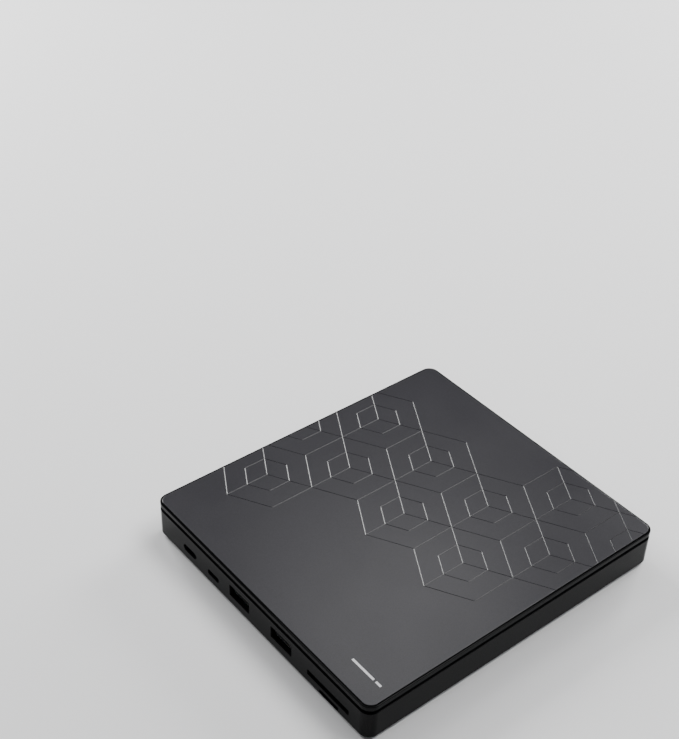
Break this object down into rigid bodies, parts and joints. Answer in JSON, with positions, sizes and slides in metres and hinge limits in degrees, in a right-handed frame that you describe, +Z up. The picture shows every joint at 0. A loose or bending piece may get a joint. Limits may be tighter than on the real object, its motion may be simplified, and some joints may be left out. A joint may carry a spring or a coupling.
{
  "type": "external optical drive",
  "caption": "Slim external disc drive with a slide-out tray, a built-in USB hub and card slots, in a flat glossy case with a satin top panel.",
  "frame": {"origin": "on the surface it rests on, under the middle of the case", "axes": "+Z up, -Y out of the front where the disc tray opens, +Y out of the rear where the sockets are, +X to the right seen from the front"},
  "size_m": [0.145, 0.16, 0.019],
  "materials": {
    "gloss_black": "polished black",
    "satin_panel": "satin dark grey with engraved lines",
    "black_plastic": "fine moulded texture",
    "grey_plastic": "moulded",
    "rubber_black": "matte",
    "sheet_steel": "zinc plated",
    "polished_steel": "ground and polished",
    "circuit_board": "green solder mask",
    "chip_black": "matte moulded",
    "flex_ribbon": "amber film",
    "lens_glass": "coated",
    "lamp_lens": "clear"
  },
  "bodies": {
    "case": {"bottom_case": "gloss_black", "top_cover": "gloss_black", "top_panel": "satin_panel", "foot_1": "rubber_black", "foot_2": "rubber_black", "foot_3": "rubber_black", "foot_4": "rubber_black", "case_screw_1": "polished_steel", "case_screw_2": "polished_steel", "case_screw_3": "polished_steel", "case_screw_4": "polished_steel", "drive_pan": "sheet_steel", "drive_shield": "sheet_steel", "rail_guide_left": "grey_plastic", "rail_guide_right": "grey_plastic", "plunger_guide": "grey_plastic", "drive_board": "circuit_board", "sata_plug": "black_plastic", "hub_board": "circuit_board", "hub_chip": "chip_black", "bridge_chip": "chip_black", "sata_socket": "black_plastic", "usb_a_shell_1": "sheet_steel", "usb_a_tongue_1": "black_plastic", "usb_a_shell_2": "sheet_steel", "usb_a_tongue_2": "black_plastic", "micro_usb_shell": "sheet_steel", "usb_c_shell": "sheet_steel", "usb_c_tongue": "black_plastic", "sd_socket": "sheet_steel", "tf_socket": "sheet_steel", "flex_cable": "flex_ribbon"},
    "rail_left": {"slide_rail_left": "sheet_steel"},
    "rail_right": {"slide_rail_right": "sheet_steel"},
    "plunger": {"eject_plunger": "black_plastic"},
    "tray": {"disc_tray": "black_plastic", "tray_bezel": "gloss_black", "activity_lens": "lamp_lens", "main_board": "circuit_board", "main_chip": "chip_black", "latch_solenoid": "sheet_steel", "traverse_frame": "sheet_steel", "damper_1": "rubber_black", "damper_2": "rubber_black", "damper_3": "rubber_black", "spindle_motor": "sheet_steel", "guide_rod_1": "polished_steel", "guide_rod_2": "polished_steel", "sled_motor": "sheet_steel"},
    "button": {"eject_button": "gloss_black"},
    "latch": {"latch_hook": "black_plastic"},
    "spindle": {"turntable": "black_plastic"},
    "claw_1": {"chuck_claw_1": "grey_plastic"},
    "claw_2": {"chuck_claw_2": "grey_plastic"},
    "claw_3": {"chuck_claw_3": "grey_plastic"},
    "screw": {"lead_screw": "polished_steel"},
    "pickup": {"pickup_sled": "grey_plastic", "lens_holder": "black_plastic", "objective_lens": "lens_glass"}
  },
  "joints": [
    {"name": "tray_slide", "type": "slide", "parent": "case", "child": "tray", "axis": [0, -1, 0], "range_m": [0, 0.13]},
    {"name": "rail_left_slide", "type": "slide", "parent": "case", "child": "rail_left", "axis": [0, -1, 0], "range_m": [0, 0.0651]},
    {"name": "rail_right_slide", "type": "slide", "parent": "case", "child": "rail_right", "axis": [0, -1, 0], "range_m": [0, 0.0651]},
    {"name": "plunger_slide", "type": "slide", "parent": "case", "child": "plunger", "axis": [0, 1, 0], "range_m": [0, 0.004], "stiffness_N_per_m": 60},
    {"name": "button_press", "type": "slide", "parent": "tray", "child": "button", "axis": [0, 1, 0], "range_m": [0, 0.0006], "stiffness_N_per_m": 200},
    {"name": "latch_pivot", "type": "hinge", "parent": "tray", "child": "latch", "pos_m": [-0.0502, -0.05, 0.0045], "axis": [0, 0, 1], "range_deg": [-18, 0]},
    {"name": "disc_spin", "type": "hinge", "parent": "tray", "child": "spindle", "pos_m": [0, -0.014, 0.009], "axis": [0, 0, 1], "continuous": true},
    {"name": "claw_1_press", "type": "slide", "parent": "spindle", "child": "claw_1", "axis": [-0.7071, 0.7071, 0], "range_m": [0, 0.0005], "stiffness_N_per_m": 60},
    {"name": "claw_2_press", "type": "slide", "parent": "spindle", "child": "claw_2", "axis": [-0.2588, -0.9659, 0], "range_m": [0, 0.0005], "stiffness_N_per_m": 60},
    {"name": "claw_3_press", "type": "slide", "parent": "spindle", "child": "claw_3", "axis": [0.9659, 0.2588, 0], "range_m": [0, 0.0005], "stiffness_N_per_m": 60},
    {"name": "pickup_travel", "type": "slide", "parent": "tray", "child": "pickup", "axis": [0.7071, -0.7071, 0], "range_m": [0, 0.035]},
    {"name": "screw_spin", "type": "hinge", "parent": "tray", "child": "screw", "pos_m": [-0.01032, -0.02432, 0.0061], "axis": [0.7071, -0.7071, 0], "range_deg": [0, 4205]}
  ],
  "couplings": [
    {"joint": "rail_left_slide", "follows": "tray_slide", "ratio": 0.5},
    {"joint": "rail_right_slide", "follows": "tray_slide", "ratio": 0.5},
    {"joint": "screw_spin", "follows": "pickup_travel", "rad_per_m": 2094.4}
  ]
}
